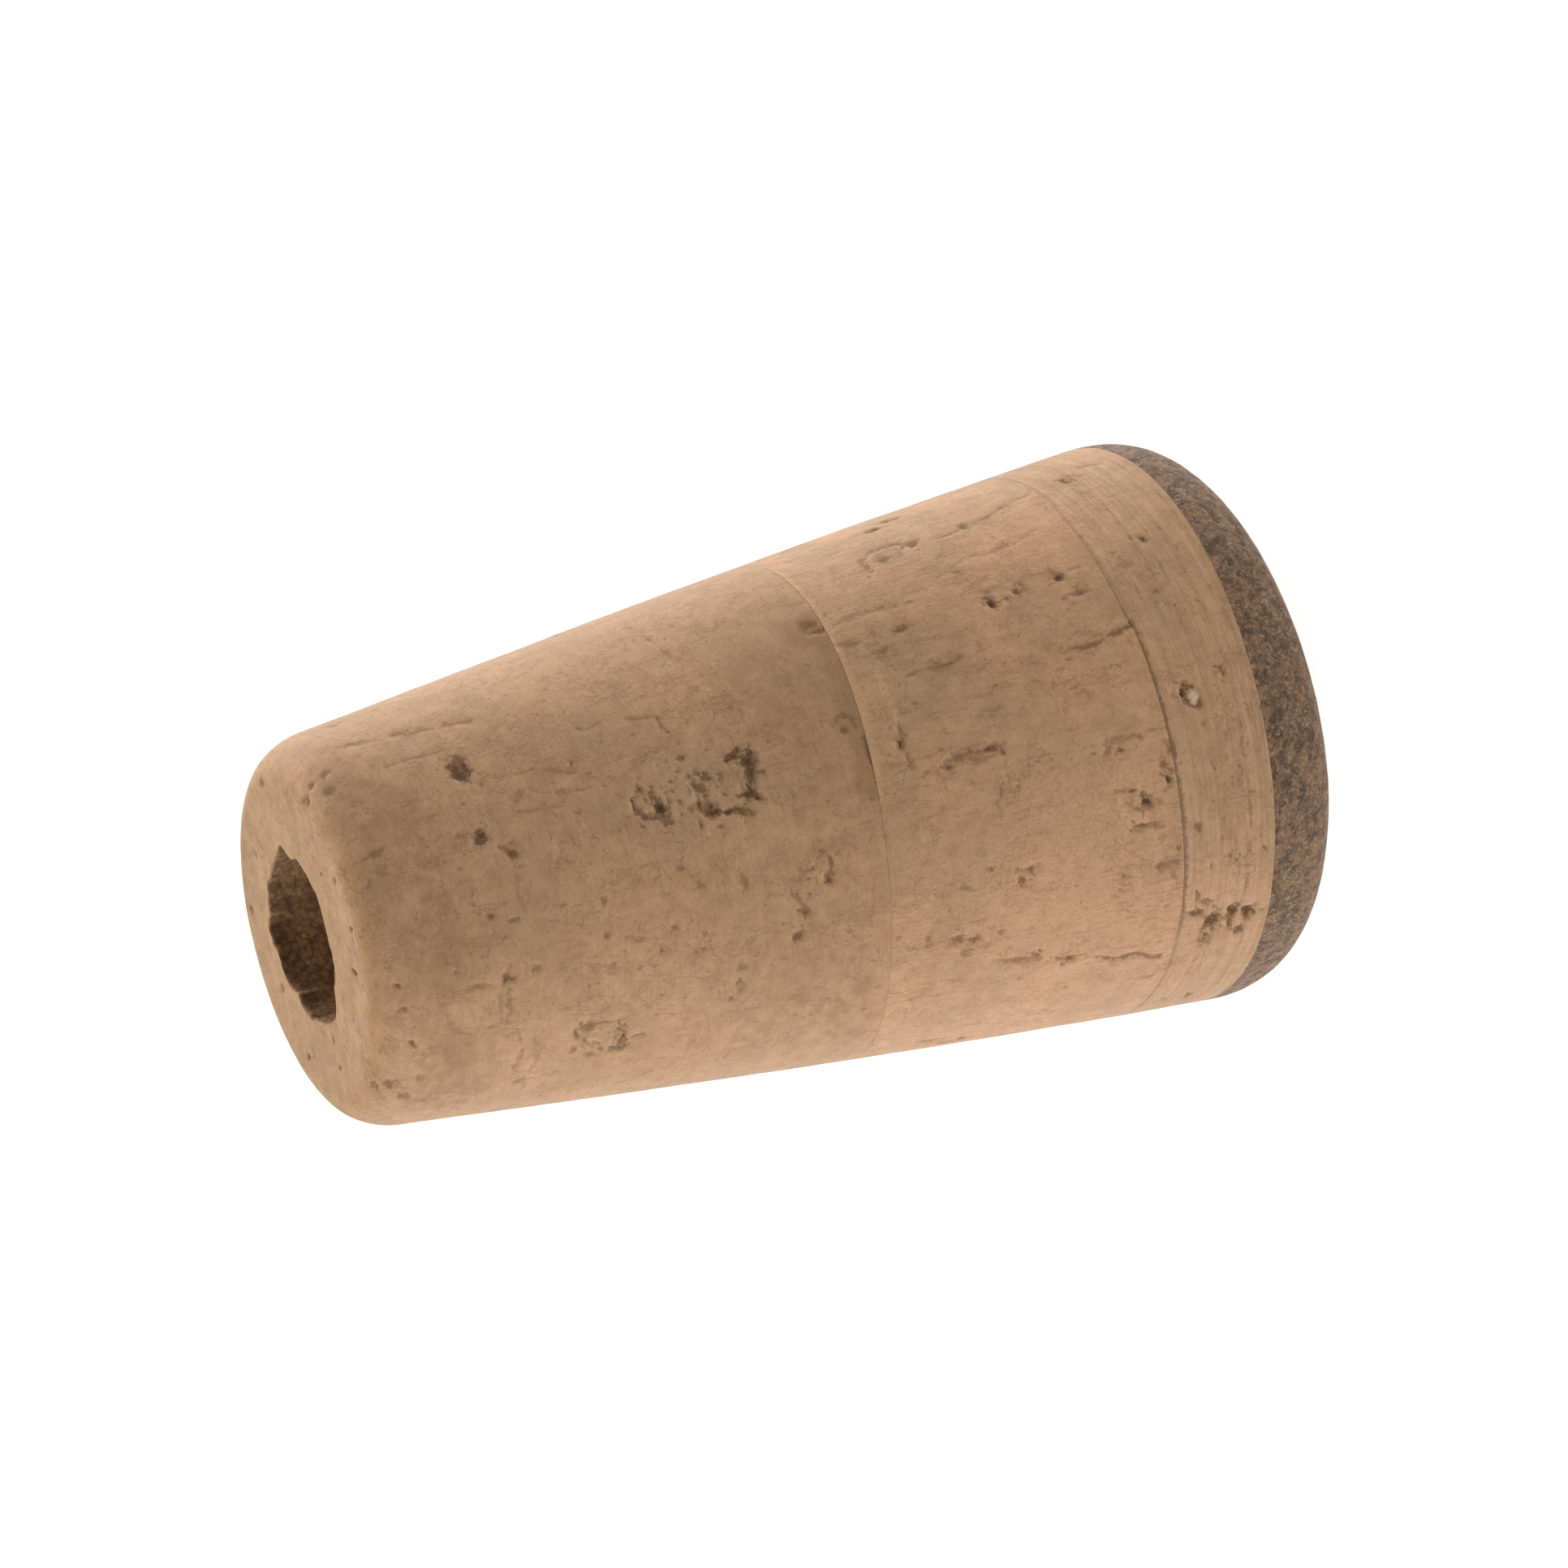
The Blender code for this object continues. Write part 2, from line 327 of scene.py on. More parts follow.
REAR_LINES = [
    ([(23, 48.4), (21, 48), (19.1, 49)], 0.12, 0.08),
    ([(23.1, 54.8), (21.4, 55.2), (19.4, 55.4)], 0.13, 0.12),
    ([(20.9, 66.2), (19.6, 66.4), (18.1, 65.8)], 0.13, 0.12),
    ([(12.5, 70.8), (11.3, 71.2), (10, 70.4), (8.9, 69.6)], 0.15, 0.26),
    ([(11.8, 59.8), (11, 59.2), (10.2, 59.6)], 0.14, 0.18),
    ([(20.4, 87.2), (19.4, 86.4), (18.2, 86.8), (17.4, 86.2)], 0.15, 0.26),
    ([(12.5, 91.6), (11, 91.4), (9.1, 91)], 0.12, 0.08),
    ([(12.4, 101.8), (11.7, 101.5), (11.2, 101.9)], 0.13, 0.14),
    ([(11.9, 110), (11.2, 109.6), (10.4, 110.2)], 0.13, 0.2),
    ([(15.3, 137.8), (14.6, 138.6), (14, 138.4)], 0.14, 0.26),
    ([(18.1, 135.8), (17.2, 136), (16.3, 136.2)], 0.13, 0.22),
    ([(17.9, 113), (17.3, 113.6), (16.9, 115.6)], 0.13, 0.18),
    ([(9.9, 118), (9.6, 121), (9.2, 124)], 0.14, 0.1),
    ([(21.4, 126.4), (20.7, 127), (20, 127.4)], 0.16, 0.16),
    ([(19.3, 36), (19.3, 31), (18.4, 27.8), (17.3, 28.4), (16.4, 31.6)], 0.16, 0.2),
    ([(15.2, 32), (13.6, 30.6), (12.2, 30.6), (10.4, 27.6), (9.2, 26.4)], 0.15, 0.18),
    ([(16.8, 44.4), (15, 42.2), (12.4, 42.2), (10.6, 39.6)], 0.13, 0.1),
    ([(22.6, 48), (20.6, 47.8), (18.8, 48.8)], 0.13, 0.1),
    ([(22.2, 76.5), (22.35, 80.5), (22.3, 85.5)], 0.14, 0.2),
    ([(15, 56.8), (14, 55.6), (13, 55)], 0.12, 0.14),
    ([(12.4, 93.2), (11.8, 90.9), (11, 90.8), (10.4, 92)], 0.14, 0.18),
    ([(11.9, 104.6), (11.3, 103.8), (10.6, 103.6)], 0.12, 0.14),
    ([(13.2, 140), (12, 141.4), (11, 141.8), (9.4, 143.6)], 0.16, 0.3),
    ([(19.7, 66), (19.3, 67.4), (18, 65.8)], 0.13, 0.12),
    ([(18.4, 135.4), (17.4, 135.4), (16.5, 136.8)], 0.13, 0.14),
    ([(11, 53.8), (10, 53)], 0.12, 0.12),
]
THIN_PITS = [
    (7.86, 86.2, 0.16, 0.42, 0.6), (7.6, 84.2, 0.2, 0.16, 0.35), (7.1, 92.3, 0.12, 0.26, 0.22),
    (5.45, 83, 0.1, 0.36, 0.3),
    (6.15, 50.8, 0.15, 0.4, 0.34), (6.85, 26, 0.38, 0.36, 0.34), (7.7, 56.2, 0.32, 0.32, 0.1),
    (6.95, 64.2, 0.18, 0.18, 0.2), (8.1, 112.3, 0.22, 0.26, 0.22), (6.5, 120.6, 0.1, 0.26, 0.24),
    (6, 121.4, 0.24, 0.16, 0.24), (5.4, 127, 0.09, 0.75, 0.2), (4.5, 120.2, 0.14, 0.2, 0.26),
    (8, 132, 0.5, 0.16, 0.34), (7.4, 129.2, 0.46, 0.14, 0.3), (6.95, 135.6, 0.42, 0.66, 0.6),
    (7.05, 140.2, 0.26, 0.44, 0.44), (6, 134.2, 0.36, 0.38, 0.6), (5.95, 137.4, 0.16, 0.44, 0.46),
    (5.05, 135, 0.42, 0.4, 0.6), (5.2, 139.6, 0.26, 0.2, 0.32), (8.1, 127, 0.18, 0.18, 0.26),
    (8.55, 131.6, 0.16, 0.2, 0.24),
]
THIN_LINES = [
    ([(6.4, 24), (5.4, 22.6), (4.4, 23.8)], 0.16, 0.16),
    ([(5, 47.6), (4.9, 52), (5.1, 60)], 0.1, 0.06),
    ([(6.1, 88), (6.15, 100), (6.05, 112), (6.2, 126)], 0.1, 0.08),
    ([(5.25, 92), (5.2, 105), (5.3, 118), (5.4, 130)], 0.12, 0.12),
    ([(7, 98), (6.85, 106), (6.9, 116)], 0.12, 0.08),
]
# Outlines of closed pores: height, angle, half sizes along and around in mm, and depth
NOSE_OUTLINES = [(45.3, 120.6, 1.35, 1.35, 0.05), (39.2, 138.4, 1.05, 1.35, 0.03)]
REAR_OUTLINES = [
    (18.4, 31.8, 1.1, 0.75, 0.1), (10.9, 105, 0.62, 0.42, 0.12), (18.9, 86.8, 1.35, 0.32, 0.1),
]
THIN_OUTLINES = [
    (7.35, 86.8, 0.44, 0.44, 0.4), (7.37, 86.6, 0.54, 0.52, 0.3), (6.1, 120.9, 0.34, 0.3, 0.1),
]
OUTLINE_STOPS = 13
OUTLINE_WIDTH = 0.13
# Patches that are paler (over 0) or darker than the cork round them: height, angle, half sizes, how much.
# Some darker ones on the nose are painted shade.
NOSE_PATCHES_AND_SHADE = [
    (33.2, 77, 2.6, 1.8, 0.55), (45.2, 121, 1.5, 1.3, 0.5), (39.2, 139, 1.4, 1.1, 0.35),
    # The darker patch at (26.5, 60) on the next line is painted shade on the nose beside the rear ring's
    # proud edge.
    (42.2, 145, 1.3, 1.6, 0.3), (43.4, 66, 1.2, 2.4, 0.25), (26.5, 60, 3.4, 7, -0.45),
    (24.1, 81, 0.6, 1.8, -0.75), (24.3, 46, 0.9, 0.9, -0.7), (46.5, 104, 1.5, 2, -0.2),
    (48.3, 40, 1.1, 1.9, -0.6), (47, 62, 1.7, 2.6, -0.42), (33, 112, 2.6, 2.4, -0.18),
    # From (46.2, 112) on, the darker patches below the nose's rounded edge and down its lower side are
    # painted shade.
    (29, 98, 1.6, 1, -0.2), (41, 92, 3, 2.6, 0.15), (46.2, 112, 1.5, 5.5, -0.42),
    (46.4, 142, 1.6, 3.4, -0.4),
    (36.5, 150, 8.5, 2.6, -0.4), (29.5, 128, 2.4, 2.4, -0.4), (25.5, 146, 1.6, 3, -0.35),
]
REAR_PATCHES = [
    (14.5, 112, 5, 6.5, 0.55), (11.2, 105, 1.3, 1.6, 0.35), (9.9, 70, 1, 1.2, 0.25),
    (23, 74, 0.9, 2.6, 0.45), (19, 50, 3.6, 3.4, -0.25), (22, 132, 2, 3, -0.3),
    (11, 122, 1.8, 2, -0.25), (18.2, 33, 1.3, 1.3, -0.3), (22.2, 70, 0.16, 1.9, 0.6),
]
THIN_PATCHES = [
    (6, 40, 1.8, 2.6, 0.18), (7.32, 86.9, 0.26, 0.26, 1.8), (4.6, 90, 0.5, 14, 0.08),
    (6.6, 136.5, 1.6, 1.2, -0.35),
]


def degrees_per_mm(height):
    """The angle that one millimetre round the outside takes up at a height."""
    return degrees(MM / outer_radius(height * MM))


def outline(height, angle, along, around, depth):
    """A closed pore's outline as a line through (height, angle) places."""
    wide = degrees_per_mm(height)
    turns = np.linspace(0.0, 2.0 * np.pi, OUTLINE_STOPS)
    route = [(height + along * np.cos(t), angle + around * wide * np.sin(t)) for t in turns]
    return route, OUTLINE_WIDTH, depth


def outlines(places):
    """The outlines of a list of closed pores."""
    return [outline(*place) for place in places]


def scattered(seed, count, *ranges):
    """Seeded random pits: the ranges of their heights, angles, half sizes along and around, and depths."""
    pick = np.random.default_rng(seed)
    low, high = np.array(ranges, float).T
    return [tuple(low + (high - low) * pick.random(5)) for _ in range(count)]


def lenticel(seed, height, angle, along, around):
    """A cluster of pits round most of the rim of a pore, like the one on the camera's side."""
    pick = np.random.default_rng(seed)
    pits = []
    for turn in np.cumsum(pick.uniform(12.0, 40.0, 11)) + pick.uniform(0.0, 360.0):
        reach = pick.uniform(0.45, 1.1)
        size = pick.uniform(0.12, 0.42, 2)
        place = height + reach * along * np.cos(np.radians(turn))
        side = angle + reach * around * degrees_per_mm(height) * np.sin(np.radians(turn))
        pits.append((place, side, size[0], size[1], pick.uniform(0.2, 0.6)))
    return pits


def scattered_lines(seed, count, heights, length, lean):
    """Seeded random cracks on the far side, lean degrees off the bore's direction."""
    pick = np.random.default_rng(seed)
    lines = []
    for _ in range(count):
        height, angle = pick.uniform(*heights), pick.uniform(168, 378)
        turn = np.radians(pick.normal(lean, 14.0))
        wide = degrees_per_mm(height)
        steps = np.linspace(-0.5, 0.5, 4) * pick.uniform(*length)
        bends = pick.uniform(-0.12, 0.12, 4) * length[1]
        route = [(height + step * np.cos(turn) + bend, angle + wide * (step * np.sin(turn) + bend))
                 for step, bend in zip(steps, bends)]
        lines.append((route, 0.14, pick.uniform(0.05, 0.30)))
    return lines


CRUMBLY_DEPTH = 0.27  # pits at least this deep, in mm, have crumbs round them
CRUMBS_PER_PIT = 4


def crumbs(seed, pits):
    """A few crumbs broken out round each of the deeper pits."""
    pick = np.random.default_rng(seed)
    small = []
    for height, angle, along, around, depth in pits:
        if depth < CRUMBLY_DEPTH:
            continue
        wide = degrees_per_mm(height)
        for _ in range(CRUMBS_PER_PIT):
            turn = pick.uniform(0.0, 2.0 * np.pi)
            reach = pick.uniform(0.8, 1.7)
            size = pick.uniform(0.07, 0.15, 2)
            place = height + reach * (along + 0.10) * np.cos(turn)
            side = angle + reach * (around + 0.10) * wide * np.sin(turn)
            small.append((place, side, size[0], size[1], pick.uniform(0.08, 0.28)))
    return small


def with_crumbs(seed, pits):
    """The pits, and the crumbs round the deeper ones."""
    return pits + crumbs(seed, pits)


def fringes(seed, pits):
    """Fine cracks along the bore beside the long pits of the rear ring."""
    pick = np.random.default_rng(seed)
    cracks = []
    for height, angle, along, around, depth in pits:
        for side in (-1.0, 1.0):
            half = pick.uniform(0.5, 1.3) * max(along, 0.45)
            start = height + pick.uniform(-0.5, 0.5)
            off = angle + side * pick.uniform(1.0, 2.0)
            route = [(start + half, off), (start, off + pick.uniform(-0.5, 0.5)), (start - half, off)]
            cracks.append((route, 0.10, pick.uniform(-0.05, 0.08)))
    return cracks


def more_pits():
    """Seeded pits for each ring: on the side that faces away, and small ones on the seen side too."""
    round_pores = lenticel(1, 41.0, 232, 1.9, 1.0) + lenticel(2, 30.5, 268, 2.9, 1.3)
    round_pores += lenticel(3, 35.5, 322, 1.3, 1.0) + lenticel(4, 44.6, 292, 0.8, 1.1)
    round_pores += lenticel(12, 28.0, 205, 1.0, 1.4) + lenticel(13, 27.2, 345, 1.6, 0.6)
    nose = round_pores + scattered(5, 46, (25, 48), (172, 375), (0.10, 0.28), (0.10, 0.34), (0.1, 0.34))
    nose += scattered(41, 30, (31.2, 36.0), (73.0, 83.5), (0.06, 0.13), (0.08, 0.20), (0.10, 0.34))
    nose += scattered(42, 14, (37.8, 40.8), (133.0, 144.0), (0.06, 0.12), (0.08, 0.20), (0.08, 0.26))
    nose += scattered(6, 70, (25, 48), (0, 360), (0.07, 0.14), (0.07, 0.16), (0.08, 0.2))
    rear = scattered(7, 44, (10, 22.5), (165, 378), (0.20, 0.75), (0.09, 0.20), (0.12, 0.42))
    rear += scattered(8, 46, (10, 22.5), (0, 360), (0.10, 0.22), (0.06, 0.12), (0.08, 0.2))
    thin = scattered(9, 20, (4.5, 8.2), (150, 378), (0.12, 0.40), (0.12, 0.45), (0.14, 0.5))
    thin += scattered(10, 24, (4.5, 8.2), (0, 360), (0.07, 0.14), (0.07, 0.16), (0.08, 0.2))
    return nose, rear, thin


# ---- mesh work

def spaced(start, end, step):
    """Shares from 0 up to, but without, 1 for a stretch cut into pieces of about step."""
    count = max(2, round(abs(end - start) / step))
    return np.arange(count) / count


def side_shares(low, high):
    """Shares down the outside from high to low, evenly spaced along the curved outline."""
    fine = np.linspace(high, low, 2000)
    run = np.hypot(np.diff(fine), np.diff(outer_radius(fine)))
    travelled = np.concatenate([[0.0], np.cumsum(run)])
    wanted = np.arange(0.0, travelled[-1], SIDE_STEP)
    return (high - np.interp(wanted, travelled, fine)) / (high - low)


OUTSIDE, LOWER_FACE, BORE, UPPER_FACE = range(4)
MOUTH_DEPTH = 0.0035  # how far down the bore the torn mouth reaches
MOUTH_CROWDING = 1.7  # over 1 crowds the bore's rows towards the mouth


class Ring:
    """The points of one turned ring, as rows of AROUND points: outside, lower face, bore, upper face."""

    def __init__(self, low, high, low_wave, high_wave, mouth=None, fine_faces=(False, False)):
        even = np.arange(AROUND) * 360.0 / AROUND
        self.turns = even - degrees(FRONT_SHARE) * np.sin(np.radians(even - 90.0))
        self.bottom = low + low_wave(self.turns)
        self.top = high + high_wave(self.turns)
        self.mouth = mouth
        outside = side_shares(low, high)
        lower_step, upper_step = [SIDE_STEP if fine else HIDDEN_STEP for fine in fine_faces]
        lower = spaced(outer_radius(low), BORE_RADIUS, lower_step)
        bore = spaced(low, high, BORE_STEP)
        if mouth is not None:
            bore = 1.0 - (1.0 - bore) ** MOUTH_CROWDING
        upper = spaced(BORE_RADIUS, outer_radius(high), upper_step)
        self.counts = [len(outside), len(lower), len(bore), len(upper)]
        rows = [self.side_row(s) for s in outside]
        rows += [self.face_row(self.bottom, 1.0 - s) for s in lower]
        rows += [self.bore_row(s) for s in bore]
        rows += [self.face_row(self.top, s) for s in upper]
        self.radius = np.array([row[0] for row in rows])
        self.height = np.array([row[1] for row in rows])

    def side_row(self, share):
        z = self.top + (self.bottom - self.top) * share
        return outer_radius(z), z

    def hole_radius(self, z):
        """Radius of the bore at height z, torn wider or narrower near the nose's mouth."""
        if self.mouth is None:
            return np.full(AROUND, BORE_RADIUS)
        return BORE_RADIUS + self.mouth(self.turns) * smooth((z - LENGTH + MOUTH_DEPTH) / MOUTH_DEPTH)

    def face_row(self, z, share):
        hole = self.hole_radius(z)
        return hole + (outer_radius(z) - hole) * share, z

    def bore_row(self, share):
        z = self.bottom + (self.top - self.bottom) * share
        return self.hole_radius(z), z

    def points(self):
        """Every point in metres, with its outward direction off the turned surface."""
        turn = -np.radians(self.turns)[None, :] * np.ones_like(self.radius)
        run_r = np.roll(self.radius, -1, 0) - np.roll(self.radius, 1, 0)
        run_z = np.roll(self.height, -1, 0) - np.roll(self.height, 1, 0)
        size = np.hypot(run_r, run_z)
        out_r, out_z = -run_z / size, run_r / size
        glued = [self.counts[0]] if self.bottom.max() > 0.0 else []
        glued += [0] if self.mouth is None else []
        out_r[glued], out_z[glued] = 1.0, 0.0
        places = np.stack([self.radius * np.cos(turn), self.radius * np.sin(turn), self.height], -1)
        outward = np.stack([out_r * np.cos(turn), out_r * np.sin(turn), out_z], -1)
        return places.reshape(-1, 3), outward.reshape(-1, 3)

    def kind(self):
        """OUTSIDE, LOWER_FACE, BORE or UPPER_FACE for each point."""
        return np.repeat(np.repeat(np.arange(4), self.counts), AROUND)


def ring_faces(row_count):
    """Quads that close the rows both ways, facing out."""
    row, turn = np.meshgrid(np.arange(row_count), np.arange(AROUND), indexing="ij")
    next_row, next_turn = (row + 1) % row_count, (turn + 1) % AROUND
    corners = [row * AROUND + turn, row * AROUND + next_turn,
               next_row * AROUND + next_turn, next_row * AROUND + turn]
    return np.stack(corners, -1).reshape(-1, 4)


PIT_DEPTH = 0.50  # how much of the listed depth is open, the rest being loose cork
LINE_DEPTH = 0.30
LINE_SPREAD = 1.8  # a crack is drawn this much wider than listed
SEAM_WIDTH = 0.34  # mm over which a glue line's colour fades out
CONE = 1.9  # how far a mark's colour cone reaches past its edge


def seam_amount(angle, strong, faint, start, end):
    """A glue line's strength round the ring: strong from start to end and faint elsewhere."""
    inside = smooth((angle - start) / 8.0) * smooth((end - angle) / 8.0)
    return faint + (strong - faint) * inside


def marks(points, shown, pits, lines, face_pits, patches, wander, seed):
    """Depth in metres, a cone that is 1 in each mark, its strength, and paleness, at every point."""
    edge = 0.42 * rough_noise(points, 0.0005, seed, 2)
    straight = points
    points = wandering(points, 0.0011, 0.22 * wander * MM, seed + 1)
    points = wandering(points, 0.0004, 0.10 * wander * MM, seed + 5)
    depth = np.zeros(len(points))
    dark = np.zeros(len(points))
    strength = np.zeros(len(points))
    pale = np.zeros(len(points))
    places = [(on_side(pit[0], pit[1]), pit[2:]) for pit in pits]
    places += [(on_face(pit[0], pit[1]), pit[2:]) for pit in face_pits]
    reaches = [(pit_reach(points, place, along, around, edge), deep, PIT_DEPTH)
               for place, (along, around, deep) in places]
    reaches += [(line_reach(points, route, LINE_SPREAD * width, edge), deep, LINE_DEPTH)
                for route, width, deep in lines]
    for reach, deep, open_share in reaches:
        depth = np.maximum(depth, smooth((1.3 - reach) / 1.0) * deep * open_share * MM)
        cone = np.clip(1.0 - reach / CONE, 0.0, 1.0) * shown
        strength = np.where(cone > dark, min(1.0, 0.22 + 1.7 * deep), strength)
        dark = np.maximum(dark, cone)
    for height, angle, along, around, amount in patches:
        reach = pit_reach(straight, on_side(height, angle), along, around, edge)
        pale += amount * smooth((1.7 - reach) / 1.4)
    return depth * shown, dark, strength, np.clip(pale, -1.0, 1.0)


def from_joint(ring, edge, places, reach):
    """How far each point is from the ring's "top" or "bottom" joint, 1 being reach millimetres."""
    joint = np.tile(getattr(ring, edge), len(ring.radius))
    return np.abs(places[:, 2] - joint) / (reach * MM)


def joint_painted_light(ring, places, edge, reach, amount, start, end):
    """Painted highlight (paler) or painted shade (darker) within reach millimetres of a joint, from one
    angle to another, beside a ring's proud edge.
    """
    near = smooth(1.0 - from_joint(ring, edge, places, reach))
    return amount * near * seam_amount(angle_of(places), 1.0, 0.0, start, end)


def with_seam(ring, places, kind, dark, strength, seam):
    """The dark cone and its strength with the glue line at the ring's upper joint added."""
    cone = np.clip(1.0 - from_joint(ring, "top", places, SEAM_WIDTH), 0.0, 1.0) * (kind == OUTSIDE)
    strength = np.where(cone > dark, seam_amount(angle_of(places), *seam), strength)
    return np.maximum(dark, cone), strength


WORN_AWAY = 0.04  # mm that sanding takes off, so that no grain stands past the CAD outline
TORN_STRETCH = np.array([1.0, 1.0, 0.6])


def outward_push(ring, places, kind, shown, depth, lift):
    """How far each point moves outwards: the sanded outside, the torn bore and the marks."""
    wear = 0.016 * rough_noise(places, 0.0040, 11) + 0.008 * rough_noise(places, 0.0007, 15, 2)
    wear = wear - WORN_AWAY
    torn = 0.07 * rough_noise(places * TORN_STRETCH, 0.0009, 21)
    push = np.where(kind == BORE, torn, wear) * MM - depth
    lower_face = (kind == LOWER_FACE) & (ring.mouth is None)
    push = np.where((kind == BORE) | shown | lower_face, push, 0.0)
    if lift is not None:
        push = push + np.where(kind == OUTSIDE, lift(places), 0.0)
    return push


def placed(name, data):
    """A new object in the scene."""
    made = bpy.data.objects.new(name, data)
    bpy.context.scene.collection.objects.link(made)
    return made


def ring_object(name, points, faces, in_bore, attributes, materials):
    """The ring's mesh, with its colour marks as attributes and the second material in its bore."""
    mesh = bpy.data.meshes.new(name)
    mesh.from_pydata(points.tolist(), [], faces.tolist())
    for key, values in attributes.items():
        mesh.attributes.new(key, "FLOAT", "POINT").data.foreach_set("value", values.astype(np.float32))
    for material in materials:
        mesh.materials.append(material)
    mesh.polygons.foreach_set("material_index", in_bore.astype(np.int32))
    mesh.shade_smooth()
    mesh.set_sharp_from_angle(angle=radians(SHARP_EDGE))
    return placed(name, mesh)


def ring_piece(name, ring, materials, pits=(), lines=(), face_pits=(), patches=(), lift=None, seam=None,
               joint_light_shade=None, wander=1.0, seed=0):
    """A finished ring: torn bore, worn surface, pits and cracks."""
    places, outward = ring.points()
    kind = ring.kind()
    kind[ring.counts[0] * AROUND:(ring.counts[0] + 1) * AROUND] = OUTSIDE
    shown = (kind == OUTSIDE) | ((kind == UPPER_FACE) & (ring.mouth is not None))
    depth, dark, strength, pale = marks(places, shown, pits, lines, face_pits, patches, wander, seed)
    # Painted highlight and painted shade along a joint where the rear ring stands proud of the nose.
    if joint_light_shade is not None:
        pale = pale + joint_painted_light(ring, places, *joint_light_shade)
    if seam is not None:
        dark, strength = with_seam(ring, places, kind, dark, strength, seam)
    push = outward_push(ring, places, kind, shown, depth, lift)
    points = places + outward * push[:, None]
    points[:, 2] = np.clip(points[:, 2], 0.0, LENGTH)
    faces = ring_faces(len(ring.radius))
    in_bore = (kind[faces] == BORE).sum(axis=1) >= 3
    attributes = {"dark": dark, "strength": strength, "pale": pale}
    return ring_object(name, points, faces, in_bore, attributes, materials)


# ---- materials

DARKER_IS_WARMER = (0.80, 1.0, 1.30)  # powers of a shading factor for red, green and blue


class Tree:
    """Short words for building a material's nodes."""

    def __init__(self, name):
        self.material = bpy.data.materials.new(name)
        self.material.use_nodes = True
        self.nodes = self.material.node_tree.nodes
        self.links = self.material.node_tree.links
        self.shader = self.nodes["Principled BSDF"]
        self.place = self.nodes.new("ShaderNodeTexCoord").outputs["Object"]

    def join(self, value, socket):
        """Sets a socket, or links it to another node's output."""
        if isinstance(value, bpy.types.NodeSocket):
            self.links.new(value, socket)
        else:
            socket.default_value = value

    def scaled(self, vector, factors):
        """A vector or a colour times a factor for each of its three numbers."""
        node = self.nodes.new("ShaderNodeVectorMath")
        node.operation = "MULTIPLY"
        self.links.new(vector, node.inputs[0])
        self.join(factors, node.inputs[1])
        return node.outputs[0]

    def stretched(self, x, y, z):
        """Object coordinates in millimetres, stretched by a factor each way."""
        return self.scaled(self.place, (x / MM, y / MM, z / MM))

    def noise(self, vector, scale, detail=3.0, rough=0.55, twist=0.0):
        node = self.nodes.new("ShaderNodeTexNoise")
        node.inputs["Scale"].default_value = scale
        node.inputs["Detail"].default_value = detail
        node.inputs["Roughness"].default_value = rough
        node.inputs["Distortion"].default_value = twist
        self.links.new(vector, node.inputs["Vector"])
        return node.outputs["Fac"]

    def cells(self, vector, scale, output="Distance", feature="F1"):
        node = self.nodes.new("ShaderNodeTexVoronoi")
        node.feature = feature
        node.inputs["Scale"].default_value = scale
        self.links.new(vector, node.inputs["Vector"])
        return node.outputs[output]

    def squiggles(self, vector, scale, width, rarity, amount):
        """Thin wandering lines in places: where one noise crosses its middle and another is high."""
        away = self.maths("ABSOLUTE", self.centred(self.noise(vector, scale, 5.0, 0.62, 0.5)))
        places = self.spread(self.noise(vector, scale * 0.7, 2.0, 0.5), rarity, rarity + 0.12)
        return self.times(self.spread(away, 0.0, width, amount, 0.0), places)

    def attribute(self, name):
        node = self.nodes.new("ShaderNodeAttribute")
        node.attribute_name = name
        return node.outputs["Fac"]

    def maths(self, operation, first, second=0.0, third=0.0):
        node = self.nodes.new("ShaderNodeMath")
        node.operation = operation
        for value, socket in zip((first, second, third), node.inputs):
            self.join(value, socket)
        return node.outputs[0]

    def plus(self, first, second):
        return self.maths("ADD", first, second)

    def times(self, first, second):
        return self.maths("MULTIPLY", first, second)

    def centred(self, noise):
        """A noise of 0 to 1 moved to run from -0.5 to 0.5."""
        return self.maths("SUBTRACT", noise, 0.5)

    def spread(self, value, low, high, start=0.0, end=1.0):
        """Maps low..high to start..end with soft ends."""
        node = self.nodes.new("ShaderNodeMapRange")
        node.interpolation_type = "SMOOTHSTEP"
        self.links.new(value, node.inputs["Value"])
        for key, number in (("From Min", low), ("From Max", high), ("To Min", start), ("To Max", end)):
            node.inputs[key].default_value = number
        return node.outputs["Result"]

    def mix(self, share, first, second, blend="MIX"):
        node = self.nodes.new("ShaderNodeMix")
        node.data_type = "RGBA"
        node.blend_type = blend
        self.join(share, node.inputs[0])
        for value, socket in zip((first, second), node.inputs[6:8]):
            self.join((*value, 1.0) if isinstance(value, tuple) else value, socket)
        return node.outputs[2]

    def shaded(self, colour, factor):
        """colour times a factor, warmer where it is darker, as cork is."""
        tinted = self.nodes.new("ShaderNodeCombineXYZ")
        for power, socket in zip(DARKER_IS_WARMER, tinted.inputs):
            self.links.new(self.maths("POWER", factor, power), socket)
        return self.scaled(colour, tinted.outputs[0])

    def height_mm(self):
        """Height above the dark ring's face."""
        node = self.nodes.new("ShaderNodeSeparateXYZ")
        self.links.new(self.stretched(1.0, 1.0, 1.0), node.inputs[0])
        return node.outputs["Z"]

    def bump(self, height, distance, strength):
        node = self.nodes.new("ShaderNodeBump")
        node.inputs["Strength"].default_value = strength
        node.inputs["Distance"].default_value = distance
        self.links.new(height, node.inputs["Height"])
        self.links.new(node.outputs["Normal"], self.shader.inputs["Normal"])

